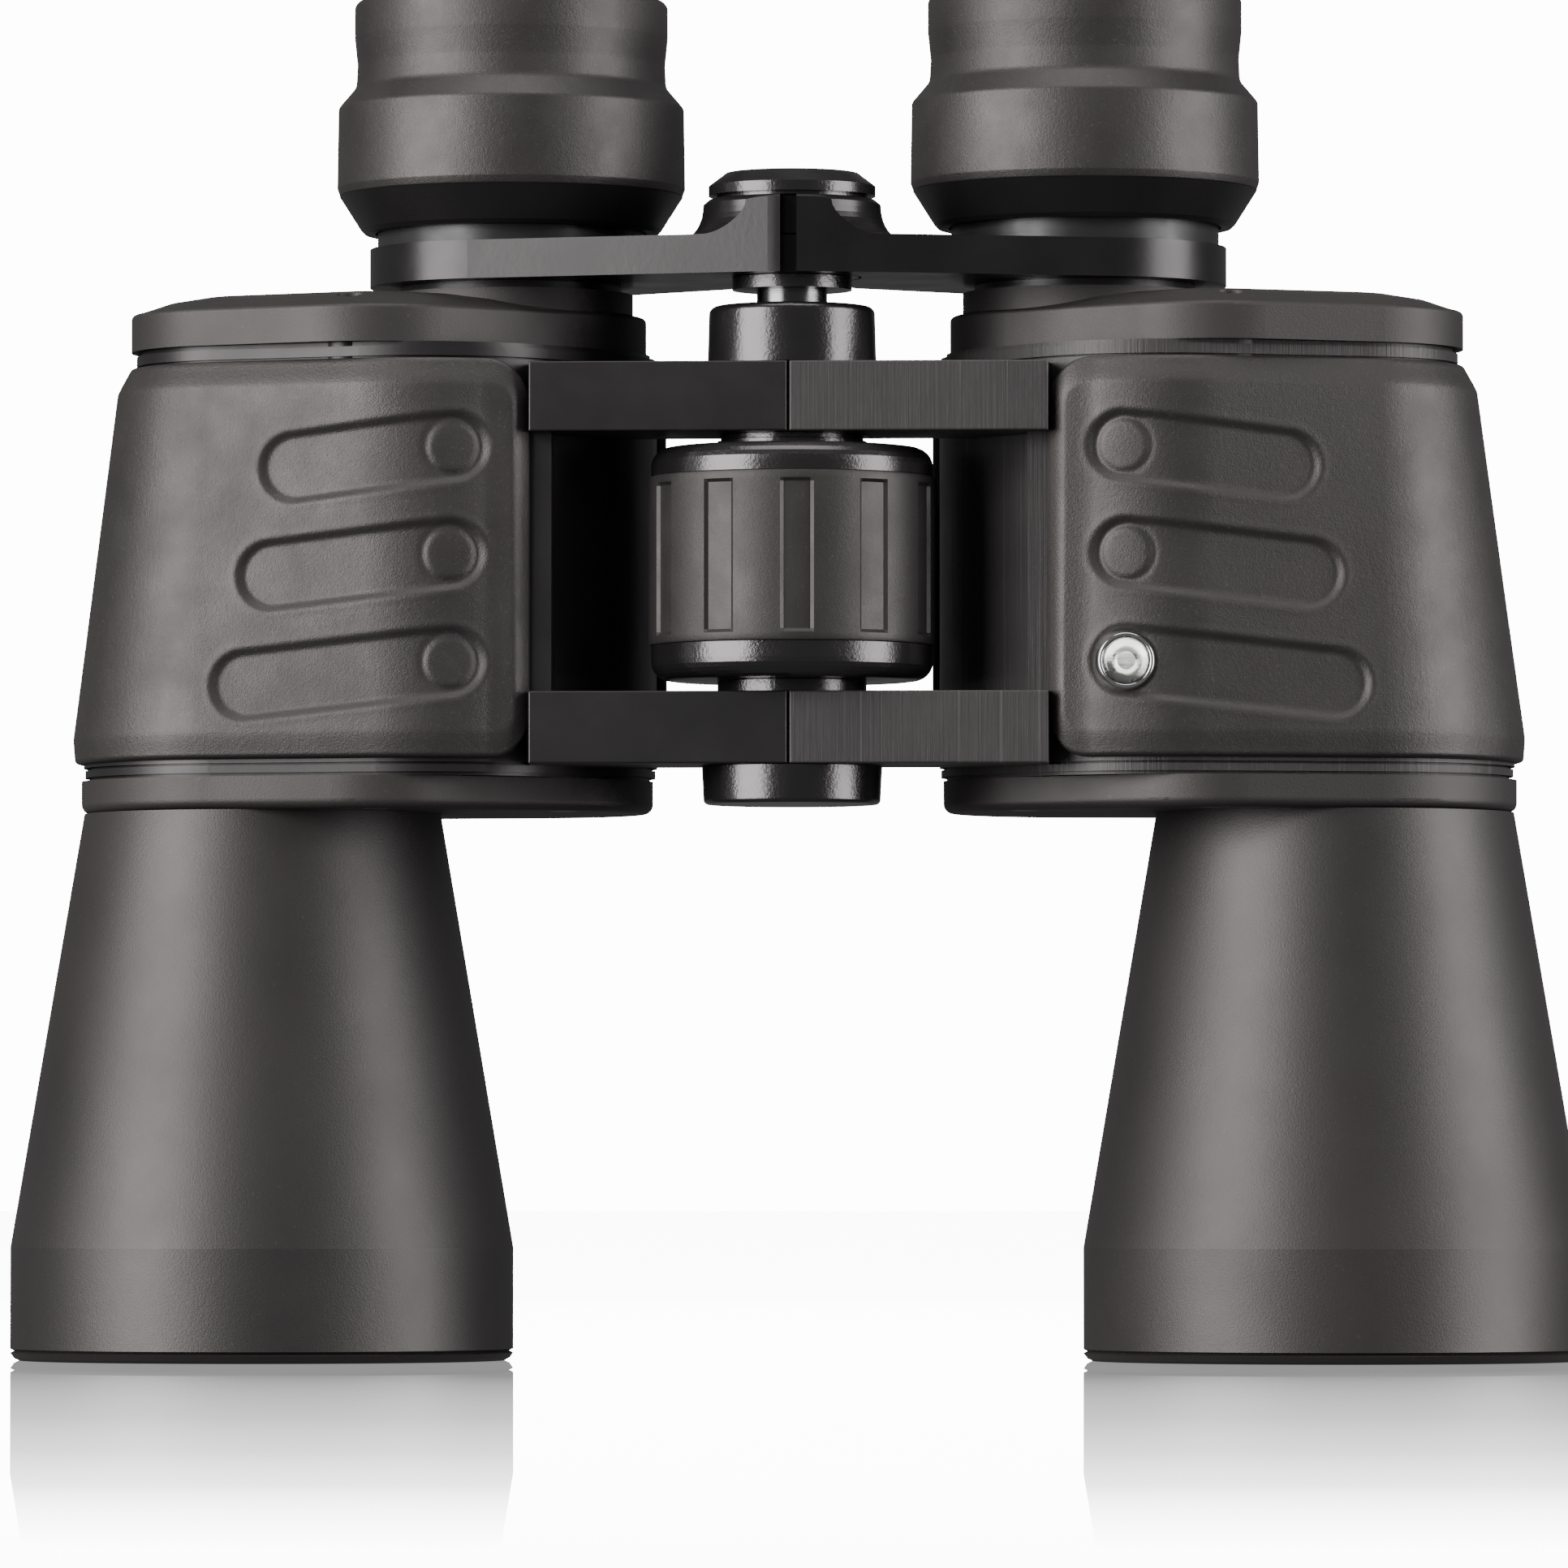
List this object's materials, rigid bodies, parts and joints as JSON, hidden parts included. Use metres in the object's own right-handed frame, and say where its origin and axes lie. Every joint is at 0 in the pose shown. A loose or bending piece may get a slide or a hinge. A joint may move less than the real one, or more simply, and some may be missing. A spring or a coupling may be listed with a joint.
{
  "type": "binoculars",
  "caption": "Centre-focus Porro-prism binoculars with wide objective barrels, rubber-armoured prism housings, a folding hinge, a focus wheel and rubber eyecups.",
  "frame": {"origin": "centre of the footprint, on the plane the two barrel mouths stand on", "axes": "+X towards the half with the dioptre setting, +Y away from the side that carries the hinge, +Z along the optical axes towards the eyepieces"},
  "size_m": [0.1942, 0.0644, 0.1683],
  "materials": {
    "case_paint": "satin black paint on a die-cast case",
    "cover_paint": "matte black paint",
    "barrel_paint": "fine matte soft-touch black coating",
    "armor_rubber": "fine-grained matte black rubber",
    "eyecup_rubber": "matte black rubber",
    "grip_rubber": "smooth satin black rubber",
    "bridge_paint": "semi-gloss black paint",
    "gloss_black": "gloss black enamel with a light orange peel",
    "shell_plastic": "satin black moulded plastic",
    "black_anodised": "black anodised, turned",
    "screw_steel": "blackened steel",
    "plated_steel": "black nickel plated steel",
    "spring_steel": "bright spring steel",
    "brass_bush": "turned brass",
    "prism_glass": "polished uncoated glass",
    "coated_glass": "polished glass with a violet-green coating",
    "badge": "bright chrome ring under a clear dome"
  },
  "bodies": {
    "left_half": {"left_prism_housing": "case_paint", "left_armor": "armor_rubber", "left_front_cover": "cover_paint", "left_top_cover": "cover_paint", "left_cover_screws": "screw_steel", "left_objective_barrel": "barrel_paint", "left_objective_cell": "black_anodised", "left_objective_retaining_ring": "black_anodised", "left_objective_crown_lens": "coated_glass", "left_objective_flint_lens": "coated_glass", "left_prism_shelf": "black_anodised", "left_upper_prism": "prism_glass", "left_lower_prism": "prism_glass", "left_prism_clips": "spring_steel", "lower_hinge_axle": "screw_steel", "lower_thrust_washer": "gloss_black", "upper_thrust_washer": "gloss_black", "upper_hinge_bush": "brass_bush", "upper_hinge_collar": "gloss_black"},
    "right_half": {"right_prism_housing": "case_paint", "right_armor": "armor_rubber", "right_front_cover": "cover_paint", "right_top_cover": "cover_paint", "right_cover_screws": "screw_steel", "right_objective_barrel": "barrel_paint", "right_objective_cell": "black_anodised", "right_objective_retaining_ring": "black_anodised", "right_objective_crown_lens": "coated_glass", "right_objective_flint_lens": "coated_glass", "right_prism_shelf": "black_anodised", "right_upper_prism": "prism_glass", "right_lower_prism": "prism_glass", "right_prism_clips": "spring_steel", "front_badge": "badge"},
    "tripod_cap": {"tripod_cap": "gloss_black"},
    "focus_wheel": {"focus_wheel_hub": "gloss_black", "focus_wheel_grip": "grip_rubber"},
    "bridge_carriage": {"focus_spindle": "plated_steel", "spindle_nut": "gloss_black", "bridge_screw": "screw_steel", "bridge_cap": "gloss_black", "left_ocular_arm": "bridge_paint", "left_ocular_tube": "black_anodised", "left_ocular_lens_cell": "black_anodised", "left_field_stop": "black_anodised", "left_field_lens": "coated_glass", "left_eye_lens": "coated_glass", "left_eye_lens_ring": "black_anodised", "left_eyepiece_shell": "shell_plastic", "left_eyecup": "eyecup_rubber"},
    "right_ocular": {"right_ocular_arm": "bridge_paint", "right_ocular_tube": "black_anodised"},
    "right_lens_cell": {"right_ocular_lens_cell": "black_anodised", "right_field_stop": "black_anodised", "right_field_lens": "coated_glass", "right_eye_lens": "coated_glass", "right_eye_lens_ring": "black_anodised"},
    "right_eyepiece": {"right_eyepiece_shell": "shell_plastic", "right_eyecup": "eyecup_rubber"}
  },
  "joints": [
    {"name": "interpupillary_hinge", "type": "hinge", "parent": "left_half", "child": "right_half", "pos_m": [0, -0.01475, 0.097], "axis": [0, 0, 1], "range_deg": [0, 39.4]},
    {"name": "focus_wheel_turn", "type": "hinge", "parent": "left_half", "child": "focus_wheel", "pos_m": [0, -0.01475, 0.097], "axis": [0, 0, 1], "range_deg": [-22.8, 270.3]},
    {"name": "focus_slide", "type": "slide", "parent": "left_half", "child": "bridge_carriage", "axis": [0, 0, 1], "range_m": [-0.0005, 0.006]},
    {"name": "right_arm_fold", "type": "hinge", "parent": "bridge_carriage", "child": "right_ocular", "pos_m": [0, -0.01475, 0.097], "axis": [0, 0, 1], "range_deg": [0, 39.5]},
    {"name": "dioptre_slide", "type": "slide", "parent": "right_ocular", "child": "right_lens_cell", "axis": [0, 0, 1], "range_m": [-0.00151, 0.00151]},
    {"name": "dioptre_turn", "type": "hinge", "parent": "right_lens_cell", "child": "right_eyepiece", "pos_m": [0.03545, 0.00125, 0.15], "axis": [0, 0, 1], "range_deg": [-90, 90]},
    {"name": "tripod_cap_off", "type": "slide", "parent": "left_half", "child": "tripod_cap", "axis": [0, 0, -1], "range_m": [0, 0.045]}
  ],
  "couplings": [
    {"joint": "focus_wheel_turn", "follows": "focus_slide", "rad_per_m": 785.4},
    {"joint": "right_arm_fold", "follows": "interpupillary_hinge", "ratio": 1},
    {"joint": "dioptre_slide", "follows": "dioptre_turn", "m_per_rad": 0.00095493}
  ]
}
